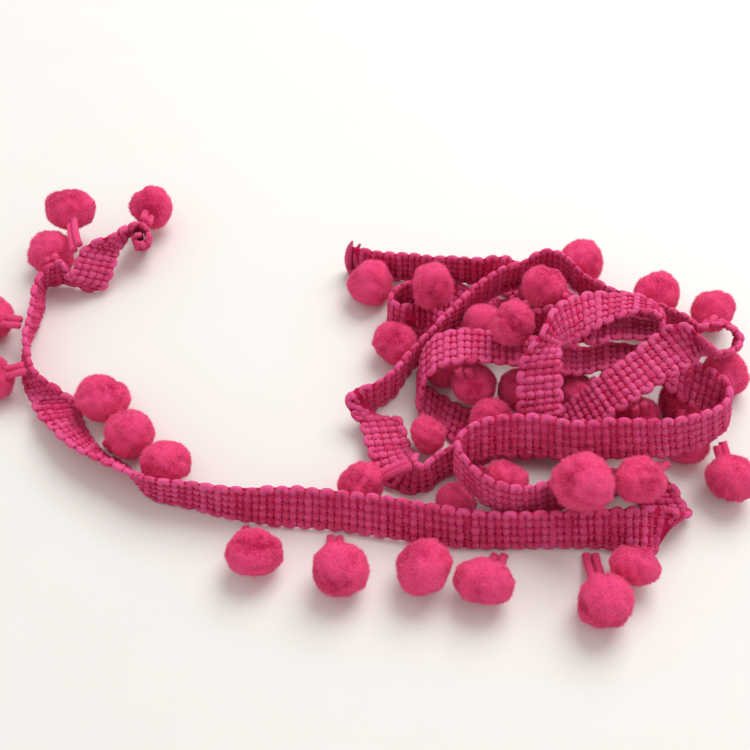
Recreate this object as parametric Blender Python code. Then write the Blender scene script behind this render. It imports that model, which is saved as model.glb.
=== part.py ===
"""Pompom fringe trim: one long woven tape lying in a loose heap, with soft yarn pompoms hanging
from one of its two edges on short looped stems.  Lengths are in millimetres until the last step,
where everything is turned into metres."""

import math

import bmesh
import bpy
import numpy as np
from mathutils import Vector

MM = 0.001

# The picture was taken looking down at the table.  A place on the trim is written as its column
# and row in the picture and its height over the table, which is how it was read by eye.
FOCAL_PX = 950.0
MIDDLE_PX = 375.0
PITCH_DEG = 52.0
EYE_HEIGHT = 180.0

# The tape: its width between the tips of the edge loops, its thickness, and the loops' pitch.
TAPE_HALF_WIDTH = 5.0
TAPE_HALF_WIDTH_BETWEEN_LOOPS = 4.5
TAPE_THICKNESS = 1.5
TAPE_STEP = 1.6
CURVE_STEPS_PER_ROW = 24

# How far runs of tape that lie beside each other are kept apart, middle to middle.
RUN_SPACING = 2.2
RUN_EASING_ROUNDS = 150
RUN_SAMPLES_ACROSS = 9
SAME_RUN_LENGTH = 9.0
EASING_REACH = 6
EASING_SPREAD = 2.2
EASING_STRENGTH = 1.6
FLOOR_SLACK = 0.05

# The pompoms: fluffy balls of yarn, each on a stem of two legs that comes out of the tape's edge.
PART_GAP = 0.32
BALL_SIDES = 10
BALL_RINGS = 7
BALL_ON_FLOOR = 0.82
BALL_LUMP = 0.055
BALL_EASING_ROUNDS = 400
STEM_RADIUS = 0.8
STEM_SIDES = 4
STEM_STEPS = 3
STEM_LEG_SPREAD = 1.15
STEM_REACH_INTO_BALL = 0.45
STEM_LEAD_OUT = 2.6
STEM_OVER_FLOOR = 0.15
STEM_SAMPLES = 25
STEM_FREE_SAMPLES = 5
STEM_SHORTEST = 1.15
WELD_DISTANCE = 0.02

# Where the tape's middle line runs, from the curled end at the left to the cut end in the heap.
# Columns: picture column, picture row, height of the middle line, and the way in which the edge
# with the pompoms points: its turn in the picture from the right, and its tip towards the eye.
ROUTE = [
    # end A curl
    (140.5, 237.5, 6.1, 100, 80),
    (135, 240, 5.7, 100, 80),
    (140, 247.5, 4.6, 100, 80),
    (149.5, 240, 5.7, 100, 80),
    (141, 227, 7.5, 100, 80),
    (127.5, 231.5, 8.4, 108, 79),
    (117, 241, 9.0, 140, 68),
    # patch
    (106, 246, 9.2, 160, 50),
    (99, 255, 8.8, 166, 24),
    (94.5, 267.5, 7.3, 168, 12),
    (90.5, 279.5, 5.0, 168, 14),
    (84.5, 287, 2.6, 160, 22),
    (78, 284, 3.4, 138, 38),
    (66.5, 274.5, 5.1, 110, 50),
    (56, 274.5, 5.1, 90, 56),
    (46, 278, 5.1, 88, 58),
    (39, 290, 5.0, 130, 72),
    (38, 302, 5.0, 165, 74),
    (35.5, 315, 5.0, 170, 74),
    (29, 333, 5.0, 175, 80),
    (26, 352, 5.0, 30, 86),
    (28, 371, 5.0, 20, 76),
    (38, 387, 4.6, 18, 55),
    (54, 402, 3.6, 6, 22),
    (60, 413, 3.4, 8, -18),
    (68, 426, 3.8, 18, -48),
    (81, 441, 4.2, 30, -64),
    (103, 458, 4.6, 50, -84),
    (118, 465, 4.7, 60, -84),
    (134, 476, 4.9, -70, -84),
    (150, 488, 5.0, -85, -64),
    (188, 495, 5.1, -87, -57),
    (236, 504, 5.1, -88, -47),
    (290, 507, 5.0, -90, -33.5),
    (340, 511, 5.0, -90, -34),
    (400, 519.5, 5.0, -90, -30.5),
    (448, 527, 5.0, -90, -35),
    (500, 530.5, 5.1, -90, -42),
    (560, 529.5, 5.1, -90, -41),
    (605, 529, 5.0, -90, -34),
    (636, 531, 4.3, -92, -16),
    (654, 531, 3.8, -96, 6),
    (665, 531, 4.0, 236, -26),
    (668, 520, 2.0, 196, 10),
    (661, 503, 1.1, 180, 10),
    (650, 488, 1.5, 190, 4),
    (630, 482, 3.0, 214, -12),
    (604, 486, 5.0, -96, -46),
    (577, 491, 5.8, -92, -52),
    (551, 496, 7.0, -88, -52),
    (530, 502, 8.6, -88, -52),
    (505, 500, 10.8, -88, -52),
    (483, 489, 12.8, -84, -52),
    (466, 473, 14.0, -88, -52),
    (457, 460, 14.2, -90, -50),
    (462, 448, 14.2, -90, -44),
    (480, 440, 14.0, -90, -34),
    (504, 436, 14.0, -91, -28),
    (538, 436, 14.0, -90, -28),
    (573, 442, 14.0, -90, -30),
    (604, 443, 15.0, -89, -32),
    (644, 440, 15.2, -88, -36),
    (680, 436, 14.4, -88, -42),
    (708, 427, 13.6, -90, -48),
    (726, 414, 13.0, -92, -50),
    (726, 401, 12.4, -100, -44),
    (713, 391, 12.4, -106, -24),
    (695, 383, 12.2, -104, 8),
    (672, 372, 12.2, -98, 34),
    (645, 362, 11.8, -92, 46),
    (612, 355, 11.8, -90, 52),
    (580, 352, 12.8, -90, 52),
    (550, 353, 14.8, -90, 48),
    (520, 350, 15.4, -90, 44),
    (494, 347, 15.2, -90, 42),
    (464, 345, 15.0, -90, 40),
    (440, 350, 14.2, -90, 38),
    (427, 360, 12.0, -90, 38),
    (421.5, 377, 8.0, -90, 38),
    (420, 394, 3.6, -92, 38),
    (433, 408, 1.2, -100, 36),
    (458, 424, 1.0, -108, 34),
    (490, 436, 1.0, -100, 34),
    (525, 440, 2.0, -90, 34),
    (560, 430, 6.0, -78, 34),
    (588, 410, 10.6, -62, 32),
    (614, 390, 15.4, -54, 30),
    (645, 369, 18.6, -52, 26),
    (672, 350, 21.2, -52, 10),
    (690, 343, 21.8, -64, -30),
    (703, 350, 19.8, -80, -70),
    (718, 355, 16.0, -90, -84),
    (734, 350, 15.2, 200, -84),
    (739, 338, 15.2, 180, -84),
    (730, 326, 15.2, 120, -84),
    (714, 323, 15.0, 60, -84),
    (701, 329, 13.0, -60, -86),
    (686, 326, 10.0, -90, -62),
    (664, 318, 7.6, -90, -54),
    (636, 309, 7.2, -92, -52),
    (610, 300, 7.4, -88, -52),
    (588, 289, 7.9, -86, -52),
    (566, 275, 8.2, -90, -52),
    (543, 271, 8.2, -90, -52),
    (521, 277, 8.2, -96, -52),
    (500, 284, 8.2, -96, -52),
    (477, 299, 8.2, -94, -52),
    (454, 320, 7.8, -94, -52),
    (430, 343, 7.0, -98, -52),
    (410, 362, 6.2, -100, -52),
    (392, 385, 5.4, -92, -52),
    (370, 399, 5.2, -90, -50),
    (361, 404, 5.0, -70, -40),
    (365, 412, 4.4, -24, -20),
    (380, 421, 3.6, 2, -12),
    (386, 438, 3.0, 4, -12),
    (390, 452, 2.8, 6, -20),
    (397, 464, 3.4, 24, -6),
    (409, 476, 4.8, 70, 40),
    (423, 479, 5.0, 96, 56),
    (440, 466, 5.0, 100, 54),
    (458, 458, 5.4, 98, 56),
    (486, 452, 6.4, 70, 50),
    (516, 441, 8.8, 30, 30),
    (536, 424, 12.0, 12, 10),
    (540, 403, 15.4, 6, -10),
    (539, 380, 18.6, 5, -16),
    (541, 358, 21.6, 4, -30),
    (551, 339, 22.6, -30, -60),
    (560, 327, 22.0, -72, -24),
    (575, 319, 21.2, -78, 12),
    (593, 311, 21.4, -84, 36),
    (612, 307, 21.2, -88, 54),
    (634, 303, 20.8, -90, 66),
    (652, 307, 19.6, -90, 78),
    (662, 316, 17.6, -90, 80),
    (662, 327, 15.8, -90, 72),
    (650, 330, 15.0, -90, 64),
    (632, 327, 15.0, -90, 58),
    (612, 327, 17.0, -90, 55),
    (592, 329, 17.0, -90, 30),
    (568, 326, 15.0, -90, -20),
    (540, 324, 11.4, -92, -48),
    (512, 328, 6.6, -96, -36),
    (480, 333, 1.8, -98, 30),
    (448, 330, 1.1, -94, 38),
    (426, 324, 2.8, -92, 8),
    (406, 322, 4.8, -90, -38),
    (391, 314, 5.2, -92, -50),
    (393, 302, 5.2, -94, -50),
    (410, 295, 5.2, -86, -46),
    (432, 294, 4.2, -86, -20),
    (456, 298, 1.6, -80, 26),
    (480, 303, 1.1, -76, 36),
    (503, 311, 1.3, -74, 34),
    (524, 320, 4.0, -84, -14),
    (548, 323, 5.2, -92, -52),
    (570, 318, 5.2, -92, -52),
    (573, 308, 5.2, -92, -52),
    (559, 303, 4.6, -92, -44),
    (542, 298, 1.8, -120, 14),
    (525, 290, 1.1, -130, 32),
    (510, 281, 1.6, -124, 24),
    (495, 277, 4.0, -104, -26),
    (480, 276, 5.1, -90, -49),
    (462, 276, 5.1, -90, -51),
    (440, 273, 5.1, -90, -51),
    (416, 268, 5.1, -90, -50),
    (394, 267, 5.1, -90, -48),
    (370, 263, 5.1, -90, -52),
    (352, 258, 5.1, -90, -54),
]

# The pompoms in the order of their stems along the tape.
# Columns: where the stem leaves the tape along its length, the ball's picture column and row, the
# height of its middle, and its width and height in the picture.
POMPOMS = [
    (10, 147, 221, 5.4, 38, 40),
    (27, 68, 212, 11.0, 46, 40),
    (45, 54, 249, 5.6, 42, 42),
    (62, -11, 319, 5.6, 44, 44),
    (76, -11, 377, 5.6, 44, 44),
    (90, 101, 398, 5.8, 50, 46),
    (108, 131, 433, 5.8, 46, 50),
    (124, 166, 461, 5.4, 52, 40),
    (146, 254, 552, 5.8, 58, 46),
    (164, 339, 570, 6.0, 57, 54),
    (182, 422, 566, 6.0, 56, 56),
    (199, 485, 580, 6.0, 60, 47),
    (217, 608, 597, 6.0, 52, 54),
    (231, 632, 568, 5.6, 50, 40),
    (285, 514, 464, 10.0, 46, 42),
    (305, 460, 501, 4.2, 42, 40),
    (325, 580, 484, 15.0, 58, 56),
    (345, 636, 492, 11.0, 49, 44),
    (358, 729, 477, 5.8, 48, 46),
    (374, 695, 446, 5.6, 46, 44),
    (393, 573, 391, 6.0, 46, 44),
    (411, 508, 390, 5.6, 46, 44),
    (429, 474, 386, 5.6, 44, 42),
    (500, 630, 413, 5.8, 46, 44),
    (514, 690, 412, 5.8, 46, 44),
    (530, 724, 371, 6.0, 46, 44),
    (546, 714, 312, 5.6, 40, 40),
    (563, 657, 294, 5.6, 45, 42),
    (584, 580, 262, 5.6, 44, 42),
    (612, 483, 318, 6.0, 42, 40),
    (638, 396, 342, 5.4, 43, 44),
    (665, 424, 441, 4.6, 36, 38),
    (679, 370, 488, 5.6, 46, 46),
    (697, 492, 412, 5.6, 44, 42),
    (715, 592, 426, 6.0, 44, 42),
    (745, 546, 291, 17.5, 46, 44),
    (802, 509, 334, 17.5, 42, 44),
    (849, 425, 294, 11.0, 40, 46),
    (950, 371, 281, 5.6, 45, 45),
]

# Those that the tape hides in the heap: where their stems leave it, and how wide their balls are.
HIDDEN_POMPOMS = [
    (484, 9.6),
    (769, 10.0),
    (787, 9.8),
    (824, 9.8),
    (884, 9.6),
]
HIDDEN_STEM_LENGTH = 3.2
HIDDEN_BALL_TOP = 7.0


def from_picture(column, row, height):
    """The place over the table that is seen at a picture column and row, at a given height."""
    sine = math.sin(math.radians(PITCH_DEG))
    cosine = math.cos(math.radians(PITCH_DEG))
    across = (column - MIDDLE_PX) / FOCAL_PX
    down = (row - MIDDLE_PX) / FOCAL_PX
    depth = (EYE_HEIGHT - height) / (sine + down * cosine)
    ahead = depth * (cosine - down * sine) - EYE_HEIGHT * cosine / sine
    return np.stack([depth * across, ahead, height + 0.0 * depth], axis=-1)


def pointing(column, row, turn, tip):
    """The direction with a given turn in the picture and a given tip towards the eye."""
    sine = math.sin(math.radians(PITCH_DEG))
    cosine = math.cos(math.radians(PITCH_DEG))
    across = (column - MIDDLE_PX) / FOCAL_PX
    down = (row - MIDDLE_PX) / FOCAL_PX
    sight = np.stack([across, cosine - down * sine, -sine - down * cosine], axis=-1)
    sight = unit(sight)
    right = np.zeros_like(sight)
    right[:, 0] = 1.0
    right = unit(right - np.sum(right * sight, axis=1, keepdims=True) * sight)
    upward = np.cross(right, sight)
    turn = np.radians(turn)[:, None]
    tip = np.radians(tip)[:, None]
    flat = np.cos(turn) * right + np.sin(turn) * upward
    return np.cos(tip) * flat - np.sin(tip) * sight


def unit(vectors):
    """The same vectors with length one."""
    return vectors / np.linalg.norm(vectors, axis=-1, keepdims=True)


def smooth_curve(rows, steps):
    """A curve through all the rows that doesn't swing out, with even steps between two rows."""
    gaps = np.linalg.norm(np.diff(rows[:, :3], axis=0), axis=1) ** 0.5
    knots = np.concatenate([[0.0], np.cumsum(gaps)])
    slopes = np.diff(rows, axis=0) / gaps[:, None]
    tangents = np.empty_like(rows)
    tangents[0] = slopes[0]
    tangents[-1] = slopes[-1]
    before = gaps[:-1, None]
    after = gaps[1:, None]
    tangents[1:-1] = (slopes[:-1] * after + slopes[1:] * before) / (before + after)
    share = np.linspace(0.0, 1.0, steps, endpoint=False)[None, :, None]
    span = np.diff(knots)[:, None, None]
    start = (2.0 * share**3 - 3.0 * share**2 + 1.0) * rows[:-1, None, :]
    leave = (share**3 - 2.0 * share**2 + share) * span * tangents[:-1, None, :]
    end = (3.0 * share**2 - 2.0 * share**3) * rows[1:, None, :]
    arrive = (share**3 - share**2) * span * tangents[1:, None, :]
    points = (start + leave + end + arrive).reshape(-1, rows.shape[1])
    return np.concatenate([points, rows[-1:]])


def along(points):
    """The distance along a line of points, from its start to each point."""
    return np.concatenate([[0.0], np.cumsum(np.linalg.norm(np.diff(points, axis=0), axis=1))])


def resample(curve, step):
    """The same curve in steps of one length."""
    length = along(curve[:, :3])
    count = int(round(length[-1] / step))
    wanted = np.linspace(0.0, length[-1], count + 1)
    columns = [np.interp(wanted, length, curve[:, k]) for k in range(curve.shape[1])]
    return np.stack(columns, axis=-1)


def bell(reach, spread):
    """Weights that share a push with the neighbours on both sides."""
    weights = np.exp(-0.5 * (np.arange(-reach, reach + 1) / spread) ** 2)
    return weights / weights.sum()


def across_tape(middle, way):
    """Rows of points across the tape, one row for each place along it."""
    offsets = np.linspace(-TAPE_HALF_WIDTH, TAPE_HALF_WIDTH, RUN_SAMPLES_ACROSS)
    return middle[:, None, :] + offsets[None, :, None] * way[:, None, :]


def ease_runs_apart(middle, way):
    """Push runs of tape that lie too near each other apart, and lift what dips under the table.

    Two runs closer than RUN_SPACING each move half of what is missing, along the line between
    their nearest points.  Every push is shared with the neighbours, so the tape stays smooth.
    """
    middle = middle.copy()
    distance = np.linalg.norm(middle[:, None] - middle[None], axis=2)
    first, second = np.where(distance < 2.0 * TAPE_HALF_WIDTH + 2.0 * RUN_SPACING)
    keep = second - first > SAME_RUN_LENGTH / TAPE_STEP
    first = first[keep]
    second = second[keep]
    weights = bell(EASING_REACH, EASING_SPREAD)
    for _ in range(RUN_EASING_ROUNDS):
        rows = across_tape(middle, way)
        apart = rows[first][:, :, None, :] - rows[second][:, None, :, :]
        apart = apart.reshape(len(first), -1, 3)
        length = np.linalg.norm(apart, axis=2)
        nearest = length.argmin(axis=1)
        pair = np.arange(len(first))
        length = length[pair, nearest]
        close = length < RUN_SPACING
        if not close.any():
            break
        line = apart[pair, nearest][close] / np.maximum(length[close], MM)[:, None]
        missing = 0.5 * (RUN_SPACING - length[close])[:, None] * line
        push = np.zeros_like(middle)
        count = np.zeros(len(middle))
        np.add.at(push, first[close], missing)
        np.add.at(push, second[close], -missing)
        np.add.at(count, first[close], 1.0)
        np.add.at(count, second[close], 1.0)
        push /= np.maximum(count, 1.0)[:, None]
        for k in range(3):
            middle[:, k] += EASING_STRENGTH * np.convolve(push[:, k], weights, "same")
        lowest = middle[:, 2] - TAPE_HALF_WIDTH * np.abs(way[:, 2])
        middle[:, 2] += np.convolve(np.maximum(FLOOR_SLACK - lowest, 0.0), weights, "same")
    return middle


def tape_line():
    """The tape's middle line, the way its pompom edge points, and the way its face points."""
    table = np.array(ROUTE, dtype=float)
    places = from_picture(table[:, 0], table[:, 1], table[:, 2])
    ways = pointing(table[:, 0], table[:, 1], table[:, 3], table[:, 4])
    curve = resample(smooth_curve(np.hstack([places, ways]), CURVE_STEPS_PER_ROW), TAPE_STEP)
    way = unit(curve[:, 3:])
    middle = ease_runs_apart(curve[:, :3], way)
    face = unit(np.cross(np.gradient(middle, axis=0), way))
    return middle, way, face


def settle_balls(centres, radii, highest, rows):
    """Move the balls off the tape, off each other and onto the table.

    What can't move far enough is squeezed smaller in the end, as a soft ball is in a tight place.
    """
    centres = centres.copy()
    surface = rows.reshape(-1, 3)
    clear = 0.5 * TAPE_THICKNESS + PART_GAP
    for _ in range(BALL_EASING_ROUNDS):
        push = np.zeros_like(centres)
        for k in range(len(centres)):
            to_tape = centres[k] - surface
            length = np.linalg.norm(to_tape, axis=1)
            near = length.argmin()
            missing = radii[k] + clear - length[near]
            if missing > 0.0:
                push[k] += missing * to_tape[near] / max(length[near], MM)
            to_ball = centres[k] - centres
            length = np.linalg.norm(to_ball, axis=1)
            length[k] = np.inf
            missing = radii[k] + radii + PART_GAP - length
            for other in np.where(missing > 0.0)[0]:
                push[k] += 0.5 * missing[other] * to_ball[other] / max(length[other], MM)
        centres += 0.5 * push
        centres[:, 2] = np.clip(centres[:, 2], BALL_ON_FLOOR * radii, highest)
    size = np.ones(len(centres))
    for k in range(len(centres)):
        room = np.linalg.norm(centres[k] - surface, axis=1).min() - clear
        size[k] = min(1.0, room / radii[k])
    for k in range(len(centres)):
        length = np.linalg.norm(centres[k] - centres, axis=1)
        for other in np.where(length < radii[k] * size[k] + radii * size + PART_GAP)[0]:
            if other != k:
                share = (length[other] - PART_GAP) / (radii[k] * size[k] + radii[other] * size[other])
                size[k] *= share
                size[other] *= share
    return centres, size


def at_length(wanted, length, points):
    """The points of a line at given distances along it."""
    return np.stack([np.interp(wanted, length, points[:, k]) for k in range(3)], axis=-1)


def all_balls(middle, way, length):
    """Every ball in the order of its stem: the stem's place, the ball's middle and its radii."""
    seen = np.array(POMPOMS, dtype=float)
    hidden = np.array(HIDDEN_POMPOMS, dtype=float)
    places = from_picture(seen[:, 1], seen[:, 2], seen[:, 3])
    eye = np.array((0.0, -EYE_HEIGHT / math.tan(math.radians(PITCH_DEG)), EYE_HEIGHT))
    mm_per_px = np.linalg.norm(places - eye, axis=1) / FOCAL_PX
    wide = 0.5 * seen[:, 4] * mm_per_px
    tall = 0.5 * seen[:, 5] * mm_per_px
    reach = TAPE_HALF_WIDTH + HIDDEN_STEM_LENGTH + 0.5 * hidden[:, 1]
    lead = unit(at_length(hidden[:, 0], length, way))
    hanging = at_length(hidden[:, 0], length, middle) + reach[:, None] * lead
    hanging[:, 2] = np.minimum(hanging[:, 2], HIDDEN_BALL_TOP)
    roots = np.concatenate([seen[:, 0], hidden[:, 0]])
    centres = np.concatenate([places, hanging])
    wide = np.concatenate([wide, 0.5 * hidden[:, 1]])
    tall = np.concatenate([tall, 0.5 * hidden[:, 1]])
    highest = np.concatenate([np.full(len(seen), np.inf), np.full(len(hidden), HIDDEN_BALL_TOP)])
    rows = across_tape(middle, way)
    centres, size = settle_balls(centres, np.maximum(wide, tall), highest, rows)
    shapes = size[:, None] * np.stack([wide, tall, tall], axis=-1)
    order = np.argsort(roots)
    return roots[order], centres[order], shapes[order]


def make_material(name, colour, roughness):
    """A plain cloth colour."""
    material = bpy.data.materials.new(name)
    material.use_nodes = True
    shader = material.node_tree.nodes["Principled BSDF"]
    shader.inputs["Base Color"].default_value = (*colour, 1.0)
    shader.inputs["Roughness"].default_value = roughness
    shader.inputs["Metallic"].default_value = 0.0
    return material


def make_object(name, verts, faces, material):
    """A solid from points in millimetres, with its faces pointing outward."""
    mesh = bpy.data.meshes.new(name)
    mesh.from_pydata([Vector(v) * MM for v in verts], [], faces)
    body = bmesh.new()
    body.from_mesh(mesh)
    bmesh.ops.recalc_face_normals(body, faces=body.faces)
    if body.calc_volume(signed=True) < 0.0:
        bmesh.ops.reverse_faces(body, faces=body.faces)
    body.to_mesh(mesh)
    body.free()
    mesh.shade_smooth()
    mesh.materials.append(material)
    solid = bpy.data.objects.new(name, mesh)
    bpy.context.scene.collection.objects.link(solid)
    return solid


def tube_faces(rings, sides):
    """The faces of a closed tube of rings."""
    faces = []
    for ring in range(rings - 1):
        for side in range(sides):
            here = ring * sides + side
            after = ring * sides + (side + 1) % sides
            faces.append((here, after, after + sides, here + sides))
    faces.append(tuple(reversed(range(sides))))
    faces.append(tuple(range((rings - 1) * sides, rings * sides)))
    return faces


def tape_solid(middle, way, face, material):
    """The tape: a four-sided strip, wider at each edge loop and narrower between two loops."""
    verts = []
    for k in range(len(middle)):
        half = TAPE_HALF_WIDTH if k % 2 == 0 else TAPE_HALF_WIDTH_BETWEEN_LOOPS
        for side, up in ((-1, -1), (1, -1), (1, 1), (-1, 1)):
            corner = middle[k] + side * half * way[k] + up * 0.5 * TAPE_THICKNESS * face[k]
            corner[2] = max(corner[2], 0.0)
            verts.append(corner)
    return make_object("tape", verts, tube_faces(len(middle), 4), material)


def ball_parts(centre, radii, seed):
    """A lumpy ball with a flat foot where it would reach under the table."""
    verts = []
    for ring in range(1, BALL_RINGS):
        tilt = math.pi * ring / BALL_RINGS
        for side in range(BALL_SIDES):
            turn = 2.0 * math.pi * side / BALL_SIDES
            lump = math.sin(2.0 * turn + seed) * math.sin(3.0 * tilt + 1.7 * seed)
            lump += 0.6 * math.sin(5.0 * turn + 2.3 * seed + 4.0 * tilt)
            size = 1.0 - BALL_LUMP + BALL_LUMP * 0.6 * lump
            x = radii[0] * size * math.sin(tilt) * math.cos(turn)
            y = radii[1] * size * math.sin(tilt) * math.sin(turn)
            z = radii[2] * size * math.cos(tilt)
            verts.append((centre[0] + x, centre[1] + y, max(centre[2] + z, 0.0)))
    top = len(verts)
    verts.append((centre[0], centre[1], centre[2] + radii[2] * (1.0 - BALL_LUMP)))
    verts.append((centre[0], centre[1], max(centre[2] - radii[2] * (1.0 - BALL_LUMP), 0.0)))
    faces = []
    for side in range(BALL_SIDES):
        after = (side + 1) % BALL_SIDES
        faces.append((top, side, after))
        last = (BALL_RINGS - 2) * BALL_SIDES
        faces.append((top + 1, last + after, last + side))
    for ring in range(BALL_RINGS - 2):
        for side in range(BALL_SIDES):
            after = (side + 1) % BALL_SIDES
            low = (ring + 1) * BALL_SIDES
            high = ring * BALL_SIDES
            faces.append((high + side, low + side, low + after, high + after))
    return verts, faces


def leg_line(root, lead, goal, tape):
    """The line of one leg, which leaves the edge and bends over to its ball.

    Where a run of tape lies in its way, only the stretch between that run and the ball is built.
    """
    middle, way, length = tape
    bend = root + STEM_LEAD_OUT * lead
    share = np.linspace(0.0, 1.0, STEM_SAMPLES)[:, None]
    line = (1 - share) ** 2 * root + 2 * share * (1 - share) * bend + share**2 * goal
    surface = across_tape(middle, way).reshape(-1, 3)
    gap = np.linalg.norm(line[:, None] - surface[None], axis=2).min(axis=1)
    blocked = gap < STEM_RADIUS + 0.5 * TAPE_THICKNESS + PART_GAP
    blocked[:STEM_FREE_SAMPLES] = False
    start = np.where(blocked)[0].max() + 1 if blocked.any() else 0
    start = min(start, STEM_SAMPLES - 2)
    wanted = np.linspace(start, STEM_SAMPLES - 1, STEM_STEPS + 1)
    return at_length(wanted, np.arange(STEM_SAMPLES), line)


def leg_parts(line):
    """A soft four-sided yarn along a line of points."""
    verts = []
    headings = unit(np.gradient(line, axis=0))
    flattest = np.abs(line[-1] - line[0]).argmin()
    reference = np.eye(3)[flattest]
    for place, heading in zip(line, headings):
        sideways = unit(np.cross(heading, reference))
        upright = np.cross(sideways, heading)
        for side in range(STEM_SIDES):
            turn = 2.0 * math.pi * (side + 0.5) / STEM_SIDES
            spread = math.cos(turn) * sideways + math.sin(turn) * upright
            vert = place + STEM_RADIUS * spread
            vert[2] = max(vert[2], STEM_OVER_FLOOR)
            verts.append(vert)
    return verts, tube_faces(len(line), STEM_SIDES)


def unite(solid, helper):
    """Fuse a helper into a solid and take the helper away."""
    join = solid.modifiers.new("unite", "BOOLEAN")
    join.operation = "UNION"
    join.solver = "EXACT"
    join.object = helper
    graph = bpy.context.evaluated_depsgraph_get()
    fused = bpy.data.meshes.new_from_object(solid.evaluated_get(graph))
    solid.modifiers.clear()
    tidy = bmesh.new()
    tidy.from_mesh(fused)
    bmesh.ops.remove_doubles(tidy, verts=tidy.verts, dist=WELD_DISTANCE * MM)
    bmesh.ops.dissolve_degenerate(tidy, edges=tidy.edges, dist=WELD_DISTANCE * MM)
    tidy.to_mesh(fused)
    tidy.free()
    solid.data = fused
    bpy.data.objects.remove(helper, do_unlink=True)


def pompom_solid(number, root_at, centre, radii, tape, material):
    """A ball with the two legs of its stem, which end just short of the tape's edge."""
    middle, way, length = tape
    verts, faces = ball_parts(centre, radii, 1.37 * number)
    name = "pompom_%02d" % number
    solid = make_object(name, verts, faces, material)
    for side in (-1.0, 1.0):
        at = root_at + side * STEM_LEG_SPREAD
        place = at_length(at, length, middle)
        lead = unit(at_length(at, length, way))
        root = place + (TAPE_HALF_WIDTH + PART_GAP + STEM_RADIUS * abs(lead[2])) * lead
        aside = side * STEM_LEG_SPREAD * unit(at_length(at, length, np.gradient(middle, axis=0)))
        goal = centre + STEM_REACH_INTO_BALL * radii * unit(root - centre) + aside
        line = leg_line(root, lead, goal, tape)
        if np.linalg.norm(line[0] - centre) < STEM_SHORTEST * radii.max():
            continue
        verts, faces = leg_parts(line)
        leg = make_object("leg", verts, faces, material)
        unite(solid, leg)
    solid.data.shade_smooth()
    return solid


for leftover in list(bpy.data.objects):
    bpy.data.objects.remove(leftover, do_unlink=True)

woven_pink = make_material("tape", (0.74, 0.10, 0.26), 0.85)
fluffy_pink = make_material("pompom", (0.78, 0.11, 0.28), 0.95)

tape_middle, tape_way, tape_face = tape_line()
tape_length = along(tape_middle)
tape_solid(tape_middle, tape_way, tape_face, woven_pink)

ball_roots, ball_centres, ball_shapes = all_balls(tape_middle, tape_way, tape_length)
for index in range(len(ball_roots)):
    tape_data = (tape_middle, tape_way, tape_length)
    ball_root = ball_roots[index]
    ball_centre = ball_centres[index]
    pompom_solid(index + 1, ball_root, ball_centre, ball_shapes[index], tape_data, fluffy_pink)

# The origin goes to the middle of the heap on the table.
corners = [solid.matrix_world @ v.co for solid in bpy.data.objects for v in solid.data.vertices]
low_x = min(corner[0] for corner in corners)
high_x = max(corner[0] for corner in corners)
low_y = min(corner[1] for corner in corners)
high_y = max(corner[1] for corner in corners)
shift = Vector((-0.5 * (low_x + high_x), -0.5 * (low_y + high_y), 0.0))
for solid in bpy.data.objects:
    for vertex in solid.data.vertices:
        vertex.co += shift
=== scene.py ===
"""Pompom fringe trim, hot pink: a woven tape lying in a loose heap, with soft yarn pompoms on
looped stems along one edge.  Lengths are worked out in millimetres and put into metres last."""
import math

import bpy
import numpy as np
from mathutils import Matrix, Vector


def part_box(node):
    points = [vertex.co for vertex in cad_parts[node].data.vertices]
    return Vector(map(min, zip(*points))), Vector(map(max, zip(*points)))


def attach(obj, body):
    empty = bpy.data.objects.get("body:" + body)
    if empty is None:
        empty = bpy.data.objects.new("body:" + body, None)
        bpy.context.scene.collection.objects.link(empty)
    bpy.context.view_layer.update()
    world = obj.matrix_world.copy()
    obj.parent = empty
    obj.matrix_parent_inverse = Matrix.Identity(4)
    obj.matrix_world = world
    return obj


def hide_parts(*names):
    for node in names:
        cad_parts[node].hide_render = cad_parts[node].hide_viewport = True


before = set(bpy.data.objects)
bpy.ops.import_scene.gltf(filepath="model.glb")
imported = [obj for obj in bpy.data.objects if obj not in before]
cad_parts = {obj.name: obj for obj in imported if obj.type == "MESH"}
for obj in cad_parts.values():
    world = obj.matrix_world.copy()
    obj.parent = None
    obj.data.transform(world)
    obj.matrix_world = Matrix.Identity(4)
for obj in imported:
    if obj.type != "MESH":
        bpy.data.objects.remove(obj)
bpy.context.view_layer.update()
MM = 0.001
scene = bpy.context.scene


# The route.  The tape is one length of soft braid, dropped in loops and left as it fell.
# A place on it is a column and row of the picture and a height over the table.  Its solid has
# the same middle line, found by the same functions, so that every piece below lies on it.
FOCAL_PX = 950.0
MIDDLE_PX = 375.0
PITCH = math.radians(52.0)
EYE_HEIGHT = 180.0
TAPE_HALF_WIDTH = 5.0
TAPE_HALF_WIDTH_BETWEEN_LOOPS = 4.5
TAPE_THICKNESS = 1.5
TAPE_STEP = 1.6
CURVE_STEPS_PER_ROW = 24
RUN_SPACING = 2.2
RUN_EASING_ROUNDS = 150
RUN_SAMPLES_ACROSS = 9
SAME_RUN_LENGTH = 9.0
EASING_REACH = 6
EASING_SPREAD = 2.2
EASING_STRENGTH = 1.6
FLOOR_SLACK = 0.05

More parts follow.
